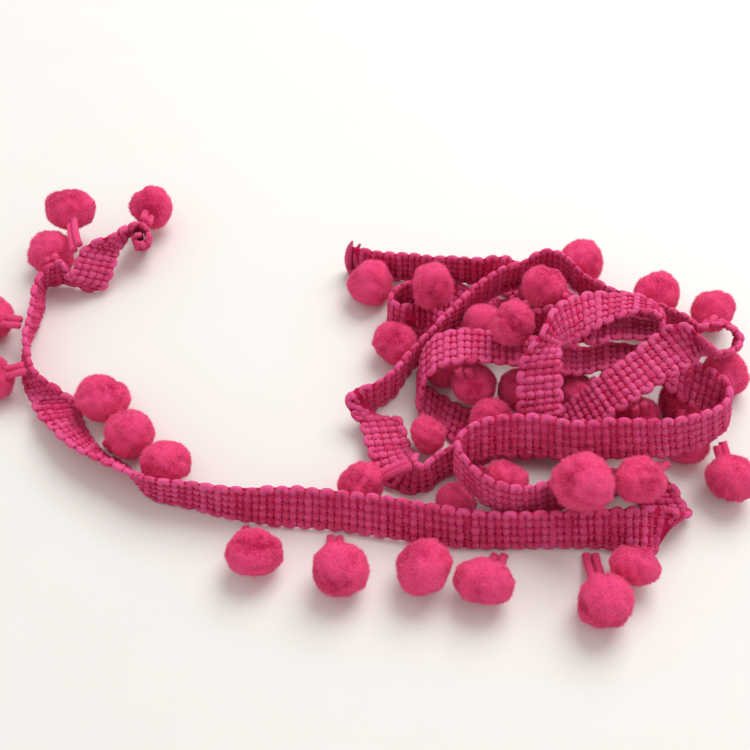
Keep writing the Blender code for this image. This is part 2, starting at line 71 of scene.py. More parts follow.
# Columns: picture column, picture row, height of the middle line, and the way in which the edge
# with the pompoms points: its turn in the picture from the right, and its tip towards the eye.
ROUTE = [
    # The curl at the end of the tail.
    (140.5, 237.5, 6.1, 100, 80),
    (135, 240, 5.7, 100, 80),
    (140, 247.5, 4.6, 100, 80),
    (149.5, 240, 5.7, 100, 80),
    (141, 227, 7.5, 100, 80),
    (127.5, 231.5, 8.4, 108, 79),
    (117, 241, 9.0, 140, 68),
    # The tail, the front run and the loops of the heap, up to the cut end.
    (106, 246, 9.2, 160, 50),
    (99, 255, 8.8, 166, 24),
    (94.5, 267.5, 7.3, 168, 12),
    (90.5, 279.5, 5.0, 168, 14),
    (84.5, 287, 2.6, 160, 22),
    (78, 284, 3.4, 138, 38),
    (66.5, 274.5, 5.1, 110, 50),
    (56, 274.5, 5.1, 90, 56),
    (46, 278, 5.1, 88, 58),
    (39, 290, 5.0, 130, 72),
    (38, 302, 5.0, 165, 74),
    (35.5, 315, 5.0, 170, 74),
    (29, 333, 5.0, 175, 80),
    (26, 352, 5.0, 30, 86),
    (28, 371, 5.0, 20, 76),
    (38, 387, 4.6, 18, 55),
    (54, 402, 3.6, 6, 22),
    (60, 413, 3.4, 8, -18),
    (68, 426, 3.8, 18, -48),
    (81, 441, 4.2, 30, -64),
    (103, 458, 4.6, 50, -84),
    (118, 465, 4.7, 60, -84),
    (134, 476, 4.9, -70, -84),
    (150, 488, 5.0, -85, -64),
    (188, 495, 5.1, -87, -57),
    (236, 504, 5.1, -88, -47),
    (290, 507, 5.0, -90, -33.5),
    (340, 511, 5.0, -90, -34),
    (400, 519.5, 5.0, -90, -30.5),
    (448, 527, 5.0, -90, -35),
    (500, 530.5, 5.1, -90, -42),
    (560, 529.5, 5.1, -90, -41),
    (605, 529, 5.0, -90, -34),
    (636, 531, 4.3, -92, -16),
    (654, 531, 3.8, -96, 6),
    (665, 531, 4.0, 236, -26),
    (668, 520, 2.0, 196, 10),
    (661, 503, 1.1, 180, 10),
    (650, 488, 1.5, 190, 4),
    (630, 482, 3.0, 214, -12),
    (604, 486, 5.0, -96, -46),
    (577, 491, 5.8, -92, -52),
    (551, 496, 7.0, -88, -52),
    (530, 502, 8.6, -88, -52),
    (505, 500, 10.8, -88, -52),
    (483, 489, 12.8, -84, -52),
    (466, 473, 14.0, -88, -52),
    (457, 460, 14.2, -90, -50),
    (462, 448, 14.2, -90, -44),
    (480, 440, 14.0, -90, -34),
    (504, 436, 14.0, -91, -28),
    (538, 436, 14.0, -90, -28),
    (573, 442, 14.0, -90, -30),
    (604, 443, 15.0, -89, -32),
    (644, 440, 15.2, -88, -36),
    (680, 436, 14.4, -88, -42),
    (708, 427, 13.6, -90, -48),
    (726, 414, 13.0, -92, -50),
    (726, 401, 12.4, -100, -44),
    (713, 391, 12.4, -106, -24),
    (695, 383, 12.2, -104, 8),
    (672, 372, 12.2, -98, 34),
    (645, 362, 11.8, -92, 46),
    (612, 355, 11.8, -90, 52),
    (580, 352, 12.8, -90, 52),
    (550, 353, 14.8, -90, 48),
    (520, 350, 15.4, -90, 44),
    (494, 347, 15.2, -90, 42),
    (464, 345, 15.0, -90, 40),
    (440, 350, 14.2, -90, 38),
    (427, 360, 12.0, -90, 38),
    (421.5, 377, 8.0, -90, 38),
    (420, 394, 3.6, -92, 38),
    (433, 408, 1.2, -100, 36),
    (458, 424, 1.0, -108, 34),
    (490, 436, 1.0, -100, 34),
    (525, 440, 2.0, -90, 34),
    (560, 430, 6.0, -78, 34),
    (588, 410, 10.6, -62, 32),
    (614, 390, 15.4, -54, 30),
    (645, 369, 18.6, -52, 26),
    (672, 350, 21.2, -52, 10),
    (690, 343, 21.8, -64, -30),
    (703, 350, 19.8, -80, -70),
    (718, 355, 16.0, -90, -84),
    (734, 350, 15.2, 200, -84),
    (739, 338, 15.2, 180, -84),
    (730, 326, 15.2, 120, -84),
    (714, 323, 15.0, 60, -84),
    (701, 329, 13.0, -60, -86),
    (686, 326, 10.0, -90, -62),
    (664, 318, 7.6, -90, -54),
    (636, 309, 7.2, -92, -52),
    (610, 300, 7.4, -88, -52),
    (588, 289, 7.9, -86, -52),
    (566, 275, 8.2, -90, -52),
    (543, 271, 8.2, -90, -52),
    (521, 277, 8.2, -96, -52),
    (500, 284, 8.2, -96, -52),
    (477, 299, 8.2, -94, -52),
    (454, 320, 7.8, -94, -52),
    (430, 343, 7.0, -98, -52),
    (410, 362, 6.2, -100, -52),
    (392, 385, 5.4, -92, -52),
    (370, 399, 5.2, -90, -50),
    (361, 404, 5.0, -70, -40),
    (365, 412, 4.4, -24, -20),
    (380, 421, 3.6, 2, -12),
    (386, 438, 3.0, 4, -12),
    (390, 452, 2.8, 6, -20),
    (397, 464, 3.4, 24, -6),
    (409, 476, 4.8, 70, 40),
    (423, 479, 5.0, 96, 56),
    (440, 466, 5.0, 100, 54),
    (458, 458, 5.4, 98, 56),
    (486, 452, 6.4, 70, 50),
    (516, 441, 8.8, 30, 30),
    (536, 424, 12.0, 12, 10),
    (540, 403, 15.4, 6, -10),
    (539, 380, 18.6, 5, -16),
    (541, 358, 21.6, 4, -30),
    (551, 339, 22.6, -30, -60),
    (560, 327, 22.0, -72, -24),
    (575, 319, 21.2, -78, 12),
    (593, 311, 21.4, -84, 36),
    (612, 307, 21.2, -88, 54),
    (634, 303, 20.8, -90, 66),
    (652, 307, 19.6, -90, 78),
    (662, 316, 17.6, -90, 80),
    (662, 327, 15.8, -90, 72),
    (650, 330, 15.0, -90, 64),
    (632, 327, 15.0, -90, 58),
    (612, 327, 17.0, -90, 55),
    (592, 329, 17.0, -90, 30),
    (568, 326, 15.0, -90, -20),
    (540, 324, 11.4, -92, -48),
    (512, 328, 6.6, -96, -36),
    (480, 333, 1.8, -98, 30),
    (448, 330, 1.1, -94, 38),
    (426, 324, 2.8, -92, 8),
    (406, 322, 4.8, -90, -38),
    (391, 314, 5.2, -92, -50),
    (393, 302, 5.2, -94, -50),
    (410, 295, 5.2, -86, -46),
    (432, 294, 4.2, -86, -20),
    (456, 298, 1.6, -80, 26),
    (480, 303, 1.1, -76, 36),
    (503, 311, 1.3, -74, 34),
    (524, 320, 4.0, -84, -14),
    (548, 323, 5.2, -92, -52),
    (570, 318, 5.2, -92, -52),
    (573, 308, 5.2, -92, -52),
    (559, 303, 4.6, -92, -44),
    (542, 298, 1.8, -120, 14),
    (525, 290, 1.1, -130, 32),
    (510, 281, 1.6, -124, 24),
    (495, 277, 4.0, -104, -26),
    (480, 276, 5.1, -90, -49),
    (462, 276, 5.1, -90, -51),
    (440, 273, 5.1, -90, -51),
    (416, 268, 5.1, -90, -50),
    (394, 267, 5.1, -90, -48),
    (370, 263, 5.1, -90, -52),
    (352, 258, 5.1, -90, -54),
]


def unit(vectors):
    """The same vectors with length one."""
    return vectors / np.linalg.norm(vectors, axis=-1, keepdims=True)


def from_picture(column, row, height):
    """The place over the table that is seen at a picture column and row, at a given height."""
    sine = math.sin(PITCH)
    cosine = math.cos(PITCH)
    across = (column - MIDDLE_PX) / FOCAL_PX
    down = (row - MIDDLE_PX) / FOCAL_PX
    depth = (EYE_HEIGHT - height) / (sine + down * cosine)
    ahead = depth * (cosine - down * sine) - EYE_HEIGHT * cosine / sine
    return np.stack([depth * across, ahead, height + 0.0 * depth], axis=-1)


def pointing(column, row, turn, tip):
    """The direction with a given turn in the picture and a given tip towards the eye."""
    sine = math.sin(PITCH)
    cosine = math.cos(PITCH)
    across = (column - MIDDLE_PX) / FOCAL_PX
    down = (row - MIDDLE_PX) / FOCAL_PX
    sight = np.stack([across, cosine - down * sine, -sine - down * cosine], axis=-1)
    sight = unit(sight)
    right = np.zeros_like(sight)
    right[:, 0] = 1.0
    right = unit(right - np.sum(right * sight, axis=1, keepdims=True) * sight)
    upward = np.cross(right, sight)
    turn = np.radians(turn)[:, None]
    tip = np.radians(tip)[:, None]
    flat = np.cos(turn) * right + np.sin(turn) * upward
    return np.cos(tip) * flat - np.sin(tip) * sight


def smooth_curve(rows, steps):
    """A curve through all the rows that doesn't swing out, with even steps between two rows."""
    gaps = np.linalg.norm(np.diff(rows[:, :3], axis=0), axis=1) ** 0.5
    knots = np.concatenate([[0.0], np.cumsum(gaps)])
    slopes = np.diff(rows, axis=0) / gaps[:, None]
    tangents = np.empty_like(rows)
    tangents[0] = slopes[0]
    tangents[-1] = slopes[-1]
    before = gaps[:-1, None]
    after = gaps[1:, None]
    tangents[1:-1] = (slopes[:-1] * after + slopes[1:] * before) / (before + after)
    share = np.linspace(0.0, 1.0, steps, endpoint=False)[None, :, None]
    span = np.diff(knots)[:, None, None]
    start = (2.0 * share**3 - 3.0 * share**2 + 1.0) * rows[:-1, None, :]
    leave = (share**3 - 2.0 * share**2 + share) * span * tangents[:-1, None, :]
    end = (3.0 * share**2 - 2.0 * share**3) * rows[1:, None, :]
    arrive = (share**3 - share**2) * span * tangents[1:, None, :]
    points = (start + leave + end + arrive).reshape(-1, rows.shape[1])
    return np.concatenate([points, rows[-1:]])


def along(points):
    """The distance along a line of points, from its start to each point."""
    return np.concatenate([[0.0], np.cumsum(np.linalg.norm(np.diff(points, axis=0), axis=1))])


def resample(curve, step):
    """The same curve in steps of one length."""
    length = along(curve[:, :3])
    count = int(round(length[-1] / step))
    wanted = np.linspace(0.0, length[-1], count + 1)
    columns = [np.interp(wanted, length, curve[:, k]) for k in range(curve.shape[1])]
    return np.stack(columns, axis=-1)


def bell(reach, spread):
    """Weights that share a push with the neighbours on both sides."""
    weights = np.exp(-0.5 * (np.arange(-reach, reach + 1) / spread) ** 2)
    return weights / weights.sum()


def across_tape(middle, way):
    """Rows of points across the tape, one row for each place along it."""
    offsets = np.linspace(-TAPE_HALF_WIDTH, TAPE_HALF_WIDTH, RUN_SAMPLES_ACROSS)
    return middle[:, None, :] + offsets[None, :, None] * way[:, None, :]


def ease_runs_apart(middle, way):
    """Push runs of tape that lie too near each other apart, and lift what dips under the table.

    Two runs closer than RUN_SPACING each move half of what is missing, along the line between
    their nearest points.  Every push is shared with the neighbours, so the tape stays smooth.
    """
    middle = middle.copy()
    distance = np.linalg.norm(middle[:, None] - middle[None], axis=2)
    first, second = np.where(distance < 2.0 * TAPE_HALF_WIDTH + 2.0 * RUN_SPACING)
    keep = second - first > SAME_RUN_LENGTH / TAPE_STEP
    first = first[keep]
    second = second[keep]
    weights = bell(EASING_REACH, EASING_SPREAD)
    for _ in range(RUN_EASING_ROUNDS):
        rows = across_tape(middle, way)
        apart = rows[first][:, :, None, :] - rows[second][:, None, :, :]
        apart = apart.reshape(len(first), -1, 3)
        length = np.linalg.norm(apart, axis=2)
        nearest = length.argmin(axis=1)
        pair = np.arange(len(first))
        length = length[pair, nearest]
        close = length < RUN_SPACING
        if not close.any():
            break
        line = apart[pair, nearest][close] / np.maximum(length[close], MM)[:, None]
        missing = 0.5 * (RUN_SPACING - length[close])[:, None] * line
        push = np.zeros_like(middle)
        count = np.zeros(len(middle))
        np.add.at(push, first[close], missing)
        np.add.at(push, second[close], -missing)
        np.add.at(count, first[close], 1.0)
        np.add.at(count, second[close], 1.0)
        push /= np.maximum(count, 1.0)[:, None]
        for k in range(3):
            middle[:, k] += EASING_STRENGTH * np.convolve(push[:, k], weights, "same")
        lowest = middle[:, 2] - TAPE_HALF_WIDTH * np.abs(way[:, 2])
        middle[:, 2] += np.convolve(np.maximum(FLOOR_SLACK - lowest, 0.0), weights, "same")
    return middle


def at_length(wanted, length, points):
    """The points of a line at given distances along it."""
    return np.stack([np.interp(wanted, length, points[:, k]) for k in range(3)], axis=-1)


table = np.array(ROUTE, dtype=float)
route_places = from_picture(table[:, 0], table[:, 1], table[:, 2])
route_ways = pointing(table[:, 0], table[:, 1], table[:, 3], table[:, 4])
route_curve = smooth_curve(np.hstack([route_places, route_ways]), CURVE_STEPS_PER_ROW)
route_curve = resample(route_curve, TAPE_STEP)
tape_way = unit(route_curve[:, 3:])
tape_middle = ease_runs_apart(route_curve[:, :3], tape_way)
tape_face = unit(np.cross(np.gradient(tape_middle, axis=0), tape_way))
tape_length = along(tape_middle)
TAPE_LENGTH = tape_length[-1]


def strip_corners(middle, way, face, halves, thickness):
    """Four corners across each step of a strip: middle +- half width * way +- half thickness *
    face."""
    side = np.array((-1.0, 1.0, 1.0, -1.0))[None, :, None]
    up = np.array((-1.0, -1.0, 1.0, 1.0))[None, :, None]
    corners = middle[:, None] + side * halves[:, None, None] * way[:, None]
    corners = corners + up * 0.5 * thickness * face[:, None]
    corners[..., 2] = np.maximum(corners[..., 2], 0.0)
    return corners


at_loop = np.arange(len(tape_middle)) % 2 == 0
scallop = np.where(at_loop, TAPE_HALF_WIDTH, TAPE_HALF_WIDTH_BETWEEN_LOOPS)
solid_corners = strip_corners(tape_middle, tape_way, tape_face, scallop, TAPE_THICKNESS)
solid_corners = solid_corners.reshape(-1, 3)
solid_low = np.array(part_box("tape")[0]) / MM
# The row's origin is the middle of the heap, so all places here are moved by this much at the end.
TO_ORIGIN = np.array((1.0, 1.0, 0.0)) * (solid_low - solid_corners.min(axis=0))


def put_in_scene(name, points, faces, material, smooth=True, values=(), vectors=()):
    """A mesh from millimetre points.  faces is one array of triangles or quads, or a list of such
    arrays.  values and vectors are pairs of a name and one number or one vector for each point."""
    mesh = bpy.data.meshes.new(name)
    faces = faces if isinstance(faces, list) else [faces]
    sides = np.concatenate([np.full(len(part), part.shape[1]) for part in faces]).astype(np.int32)
    corners = np.concatenate([part.reshape(-1) for part in faces]).astype(np.int32)
    starts = np.concatenate([[0], np.cumsum(sides)[:-1]]).astype(np.int32)
    mesh.vertices.add(len(points))
    mesh.vertices.foreach_set("co", ((points + TO_ORIGIN) * MM).astype(np.float32).reshape(-1))
    mesh.loops.add(len(corners))
    mesh.loops.foreach_set("vertex_index", corners)
    mesh.polygons.add(len(sides))
    mesh.polygons.foreach_set("loop_start", starts)
    mesh.update(calc_edges=True)
    for label, data in values:
        layer = mesh.attributes.new(label, "FLOAT", "POINT")
        layer.data.foreach_set("value", data.astype(np.float32))
    for label, data in vectors:
        layer = mesh.attributes.new(label, "FLOAT_VECTOR", "POINT")
        layer.data.foreach_set("vector", data.astype(np.float32).reshape(-1))
    if smooth:
        mesh.shade_smooth()
    mesh.validate()
    mesh.materials.append(material)
    piece = bpy.data.objects.new(name, mesh)
    scene.collection.objects.link(piece)
    return piece


# The binding web.  Inside the braid a fine flat web of thread holds the thick yarn's turns
# together.  It shows only between the turns, in a colour made far darker than the yarn:
# painted shade for the shadow in those gaps.
WEB_HALF_WIDTH = 4.7
WEB_THICKNESS = 0.5
WEB_SHADE_DEEP = (0.42, 0.005, 0.055)
WEB_SHADE_LIGHT = (0.60, 0.012, 0.09)
CLOUD_SHARE = 0.5
DEEP_UP_TO = 0.55
LIGHT_FROM = 0.92


def cloth_material(name, deep, light, tint_share, fibre_scale, bump, sheen):
    """Soft dyed yarn: colour runs from deep to light with each strand's own tone, which on the
    pompoms also carries painted shade in their creases, and a fine noise, and the noise raises
    single fibres."""
    material = bpy.data.materials.new(name)
    material.use_nodes = True
    nodes = material.node_tree.nodes
    links = material.node_tree.links
    shader = nodes["Principled BSDF"]
    shader.inputs["Roughness"].default_value = 0.85
    shader.inputs["Specular IOR Level"].default_value = 0.1
    shader.inputs["Sheen Weight"].default_value = sheen
    shader.inputs["Sheen Roughness"].default_value = 0.5
    shader.inputs["Sheen Tint"].default_value = (1.0, 0.35, 0.5, 1.0)
    shader.inputs["Subsurface Weight"].default_value = 0.25
    shader.inputs["Subsurface Radius"].default_value = (1.0, 0.25, 0.4)
    shader.inputs["Subsurface Scale"].default_value = 0.0012
    place = nodes.new("ShaderNodeTexCoord")
    strand = nodes.new("ShaderNodeAttribute")
    strand.attribute_name = "strand"
    tone_and_crease_shade = nodes.new("ShaderNodeAttribute")
    tone_and_crease_shade.attribute_name = "tone_and_crease_shade"
    cloud = nodes.new("ShaderNodeTexNoise")
    cloud.inputs["Scale"].default_value = 180.0
    cloud.inputs["Detail"].default_value = 3.0
    links.new(place.outputs["Object"], cloud.inputs["Vector"])
    fibre = nodes.new("ShaderNodeTexNoise")
    fibre.inputs["Scale"].default_value = fibre_scale
    fibre.inputs["Detail"].default_value = 4.0
    links.new(strand.outputs["Vector"], fibre.inputs["Vector"])
    share = nodes.new("ShaderNodeMath")
    share.operation = "MULTIPLY_ADD"
    share.inputs[1].default_value = tint_share
    links.new(tone_and_crease_shade.outputs["Fac"], share.inputs[0])
    links.new(fibre.outputs["Fac"], share.inputs[2])
    blend = nodes.new("ShaderNodeMath")
    blend.operation = "MULTIPLY_ADD"
    blend.inputs[1].default_value = CLOUD_SHARE
    links.new(cloud.outputs["Fac"], blend.inputs[0])
    links.new(share.outputs[0], blend.inputs[2])
    ramp = nodes.new("ShaderNodeValToRGB")
    ramp.color_ramp.elements[0].position = DEEP_UP_TO
    ramp.color_ramp.elements[0].color = (*deep, 1.0)
    ramp.color_ramp.elements[1].position = min(1.0, LIGHT_FROM + 0.5 * tint_share)
    ramp.color_ramp.elements[1].color = (*light, 1.0)
    links.new(blend.outputs[0], ramp.inputs["Fac"])
    links.new(ramp.outputs["Color"], shader.inputs["Base Color"])
    raised = nodes.new("ShaderNodeBump")
    raised.inputs["Strength"].default_value = bump
    raised.inputs["Distance"].default_value = 0.0005
    links.new(fibre.outputs["Fac"], raised.inputs["Height"])
    links.new(raised.outputs["Normal"], shader.inputs["Normal"])
    return material


def ring_faces(rings, sides):
    """Quads between rings of points that follow each other, and triangles that close both ends."""
    ring = np.arange(rings - 1)[:, None] * sides
    side = np.arange(sides)[None, :]
    after = (side + 1) % sides
    quads = np.stack([ring + side, ring + after, ring + sides + after, ring + sides + side], axis=-1)
    fan = np.arange(1, sides - 1)
    first = np.stack([np.zeros_like(fan), fan + 1, fan], axis=-1)
    last = np.stack([np.zeros_like(fan), fan, fan + 1], axis=-1) + (rings - 1) * sides
    return [quads.reshape(-1, 4), np.concatenate([first, last])]


def at_tape(where, across, height):
    """The place at a distance along the tape, a distance across it and a height off its middle."""
    middle = at_length(where, tape_length, tape_middle)
    way = unit(at_length(where, tape_length, tape_way))
    face = unit(at_length(where, tape_length, tape_face))
    return middle + across[..., None] * way + height[..., None] * face


# The web's deep colours are painted shade, not the thread's own dye.
web_shade_material = cloth_material(
    "web", WEB_SHADE_DEEP, WEB_SHADE_LIGHT, tint_share=0.0, fibre_scale=0.9, bump=0.2, sheen=0.1
)
web_halves = np.full(len(tape_middle), WEB_HALF_WIDTH)
web_points = strip_corners(tape_middle, tape_way, tape_face, web_halves, WEB_THICKNESS)
web_points = web_points.reshape(-1, 3)
web_strand = np.stack([np.repeat(tape_length, 4), web_points[:, 0], web_points[:, 2]], axis=-1)
web = put_in_scene(
    "tape_web", web_points, ring_faces(len(tape_middle), 4), web_shade_material,
    values=[("tone_and_crease_shade", np.zeros(len(web_points)))], vectors=[("strand", web_strand)],
)
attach(web, "root")
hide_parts("tape")


# The thick weft yarn.  One soft loosely spun yarn runs from edge to edge and back along the whole
# tape.  Its turns make the ribs, and its bends at both edges make the small scallops.
WEFT_PITCH = 1.6
WEFT_STEPS = 27
WEFT_SIDES = 6
WEFT_REACH = 3.9
WEFT_RADIUS_FLAT = 0.84
WEFT_RADIUS_UP = 0.72
WEFT_NARROW = 0.76
WEFT_BUMP = 0.32
WEFT_KNOBS = 5
WEFT_KNOB_SPACING = 2.0
WEFT_UNEVEN = 0.09
WEFT_BEND = 0.42
WEFT_BEND_UNEVEN = 0.16
WEFT_RISE = 0.10
WEFT_RISE_UNEVEN = 0.05
WEFT_TWIST = 1.9
WEFT_DEEP = (0.70, 0.013, 0.115)
WEFT_LIGHT = (1.0, 0.13, 0.36)
STRAND_STRETCH = 0.35


def weft_line(turns):
    """A yarn that crosses straight at turn * pitch from -reach to reach, then bends back in a flat
    arc as wide as the pitch.  Each bend reaches out by its own random share."""
    turn = np.arange(turns)[:, None]
    run = 2.0 * WEFT_REACH + 0.5 * math.pi * WEFT_PITCH
    gone = np.linspace(0.0, 1.0, WEFT_STEPS, endpoint=False)[None, :] * run
    bend = np.maximum(gone - 2.0 * WEFT_REACH, 0.0) / (0.5 * WEFT_PITCH)
    out = 1.0 + WEFT_BEND_UNEVEN * np.random.default_rng(4).normal(size=(turns, 1))
    bent = WEFT_REACH + WEFT_BEND * WEFT_PITCH * np.sin(bend) * out
    across = np.where(bend > 0.0, bent, gone - WEFT_REACH)
    along_tape = turn * WEFT_PITCH + 0.5 * WEFT_PITCH * (1.0 - np.cos(bend))
    across = np.where(turn % 2 == 0, across, -across)
    return along_tape.reshape(-1), across.reshape(-1)


def tube_around(line, upward, radius_flat, radius_up, sides):
    """Rings of points around a line: line + radius_up * cos(turn) * up + radius_flat * sin(turn) *
    sideways.  Also gives each point a strand place that winds round the line with the twist."""
    heading = unit(np.gradient(line, axis=0))
    sideways = unit(np.cross(heading, upward))
    upright = np.cross(sideways, heading)
    turn = 2.0 * math.pi * np.arange(sides)[None, :, None] / sides
    flat = np.broadcast_to(radius_flat, len(line))[:, None, None]
    up = np.broadcast_to(radius_up, len(line))[:, None, None]
    points = line[:, None] + up * np.cos(turn) * upright[:, None]
    points = points + flat * np.sin(turn) * sideways[:, None]
    points[..., 2] = np.maximum(points[..., 2], 0.0)
    gone = along(line)[:, None]
    wound = turn[..., 0] + WEFT_TWIST * gone
    strand = np.stack([STRAND_STRETCH * gone + 0.0 * wound, np.cos(wound), np.sin(wound)], axis=-1)
    return points.reshape(-1, 3), strand.reshape(-1, 3)


weft_turns = int(TAPE_LENGTH / WEFT_PITCH)
weft_where, weft_across = weft_line(weft_turns)
weft_random = np.random.default_rng(11)
weft_turn = np.arange(weft_turns).repeat(WEFT_STEPS)
weft_rise = WEFT_RISE * np.where(weft_turn % 2 == 0, 1.0, -1.0)
weft_rise = weft_rise + WEFT_RISE_UNEVEN * weft_random.normal(size=weft_turns)[weft_turn]
weft_knob = np.round(weft_across / WEFT_KNOB_SPACING).astype(int) + WEFT_KNOBS // 2
weft_knob = np.clip(weft_knob, 0, WEFT_KNOBS - 1)
weft_uneven = WEFT_UNEVEN * weft_random.normal(size=(weft_turns, WEFT_KNOBS))[weft_turn, weft_knob]
weft_places = at_tape(weft_where, weft_across, weft_rise)
weft_up = unit(at_length(weft_where, tape_length, tape_face))
weft_bulge = WEFT_NARROW + WEFT_BUMP * np.cos(math.pi * weft_across / WEFT_KNOB_SPACING) ** 2
weft_bulge = weft_bulge * (1.0 + weft_uneven)
weft_points, weft_strand = tube_around(
    weft_places, weft_up, WEFT_RADIUS_FLAT * weft_bulge, WEFT_RADIUS_UP * weft_bulge, WEFT_SIDES
)
weft_tint = weft_random.random(weft_turns).repeat(WEFT_STEPS * WEFT_SIDES)
weft_material = cloth_material(
    "weft_yarn", WEFT_DEEP, WEFT_LIGHT, tint_share=0.30, fibre_scale=3.0, bump=1.0, sheen=0.2
)
weft = put_in_scene(
    "tape_weft_yarn", weft_points, ring_faces(len(weft_places), WEFT_SIDES), weft_material,
    values=[("tone_and_crease_shade", weft_tint)], vectors=[("strand", weft_strand)],
)
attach(weft, "root")
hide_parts("tape")


# The stitched rows.  Four rows of fine thread run along the tape on both faces, over and under
# each turn of the weft yarn, and draw it in so that it stands up in small bumps between them.
STITCH_COLUMNS = (-3.0, -1.0, 1.0, 3.0)
STITCH_RADIUS = 0.17
STITCH_STEPS = 3
STITCH_SIDES = 4
STITCH_HIGH = 0.68
STITCH_LOW = 0.38
STITCH_SWAY = 0.16
STITCH_DEEP = (0.58, 0.010, 0.09)
STITCH_LIGHT = (0.92, 0.06, 0.22)


def stitch_row(column, side):
    """A thread along the tape at one column: its height is high over each turn of the yarn and low
    between two turns, as a cosine of the place along the tape."""
    where = np.arange(weft_turns * STITCH_STEPS) * WEFT_PITCH / STITCH_STEPS
    wave = 0.5 + 0.5 * np.cos(2.0 * math.pi * where / WEFT_PITCH)
    height = side * (STITCH_LOW + (STITCH_HIGH - STITCH_LOW) * wave)
    across = column + STITCH_SWAY * np.sin(math.pi * where / WEFT_PITCH)
    up = unit(at_length(where, tape_length, tape_face))
    line = at_tape(where, across, height)
    return tube_around(line, up, STITCH_RADIUS, STITCH_RADIUS, STITCH_SIDES)


stitch_material = cloth_material(
    "stitch_thread", STITCH_DEEP, STITCH_LIGHT, tint_share=0.0, fibre_scale=2.2, bump=0.3, sheen=0.15
)
stitch_points = []
stitch_strand = []
stitch_faces = []
for stitch_column in STITCH_COLUMNS:
    for stitch_side in (-1.0, 1.0):
        row_points, row_strand = stitch_row(stitch_column, stitch_side)
        before = sum(len(points) for points in stitch_points)
        row_faces = ring_faces(len(row_points) // STITCH_SIDES, STITCH_SIDES)
        stitch_faces += [part + before for part in row_faces]
        stitch_points.append(row_points)
        stitch_strand.append(row_strand)
stitch_points = np.concatenate(stitch_points)
stitches = put_in_scene(
    "tape_stitches", stitch_points, stitch_faces, stitch_material,
    values=[("tone_and_crease_shade", np.zeros(len(stitch_points)))],
    vectors=[("strand", np.concatenate(stitch_strand))],
)
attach(stitches, "root")
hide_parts("tape")


# The tape's fuzz.  Short loose fibres of the soft yarn stand off both faces and the edge loops.
# They are part of the yarn itself and are as fine as they can be drawn.  Their colour is made
# paler and lighter than the yarn's: a painted sheen on the loose fibres.
FUZZ_COUNT = 60000
FUZZ_LENGTH = (0.15, 0.6)
FUZZ_WIDTH = 0.055
FUZZ_LEAN = 0.8
FUZZ_OVER_TABLE = 0.005
FUZZ_SHEEN_DEEP = (0.74, 0.022, 0.15)
FUZZ_SHEEN_LIGHT = (1.0, 0.19, 0.42)


def fibre_triangles(roots, ways, lengths, width, random):
    """One slim triangle for each fibre: root +- half width * a random side, and root + length *
    way."""
    side = unit(np.cross(ways, random.normal(size=ways.shape)))
    tips = roots + lengths[:, None] * ways
    points = np.stack([roots - 0.5 * width * side, roots + 0.5 * width * side, tips], axis=1)
    points[..., 2] = np.maximum(points[..., 2], FUZZ_OVER_TABLE)
    return points.reshape(-1, 3), np.arange(3 * len(roots)).reshape(-1, 3)


fuzz_random = np.random.default_rng(23)
fuzz_pick = fuzz_random.integers(0, len(weft_points), FUZZ_COUNT)
fuzz_roots = weft_points[fuzz_pick]
fuzz_out = unit(fuzz_roots - weft_places[fuzz_pick // WEFT_SIDES] + MM)
fuzz_ways = unit(fuzz_out + FUZZ_LEAN * fuzz_random.normal(size=fuzz_out.shape))
fuzz_long = fuzz_random.uniform(*FUZZ_LENGTH, FUZZ_COUNT)
fuzz_points, fuzz_faces = fibre_triangles(fuzz_roots, fuzz_ways, fuzz_long, FUZZ_WIDTH, fuzz_random)
# Lighter and paler than the weft yarn: painted sheen.
fuzz_material = cloth_material(
    "loose_fibres", FUZZ_SHEEN_DEEP, FUZZ_SHEEN_LIGHT, tint_share=0.5, fibre_scale=1.0, bump=0.0, sheen=0.3
)
fuzz = put_in_scene(
    "tape_fuzz", fuzz_points, fuzz_faces, fuzz_material, smooth=False,
    values=[("tone_and_crease_shade", fuzz_random.random(FUZZ_COUNT).repeat(3))],
    vectors=[("strand", fuzz_points)],
)
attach(fuzz, "root")
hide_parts("tape")


# The frayed end.  At the cut end in the heap the last turns of the weft yarn have come loose and
# stand up past the edge.
# Columns: picture column, picture row, height, and the yarn's radius there.
LOOSE_ENDS = (
    (
        (351, 274, 0.9, 0.7), (349.5, 267, 1.8, 0.95), (348.5, 259, 4.9, 1.05),
        (349.5, 251, 8.0, 0.95), (350.5, 246, 9.8, 0.65), (352.5, 241, 10.8, 0.15),
    ),
    (
        (357, 266, 2.2, 0.8), (355.5, 258, 5.2, 0.85), (356, 251, 8.0, 0.7),
        (358.5, 247, 9.4, 0.3), (360, 244, 10.2, 0.1),
    ),
)
LOOSE_SAMPLES_PER_ROW = 6
LOOSE_FIBRES = 900
LOOSE_TINT = 0.5
YARN_FUZZ_LEAN = 0.7


def fuzz_on_yarn(points, middles, sides, count, random):
    """Roots, ways and lengths of fibres at random points of a tube: each way is the direction from
    the tube's middle to the point, leaned by YARN_FUZZ_LEAN times a random direction."""
    pick = random.integers(0, len(points), count)
    ways = unit(points[pick] - middles[pick // sides])
    ways = unit(ways + YARN_FUZZ_LEAN * random.normal(size=ways.shape))
    return points[pick], ways, random.uniform(*FUZZ_LENGTH, count)


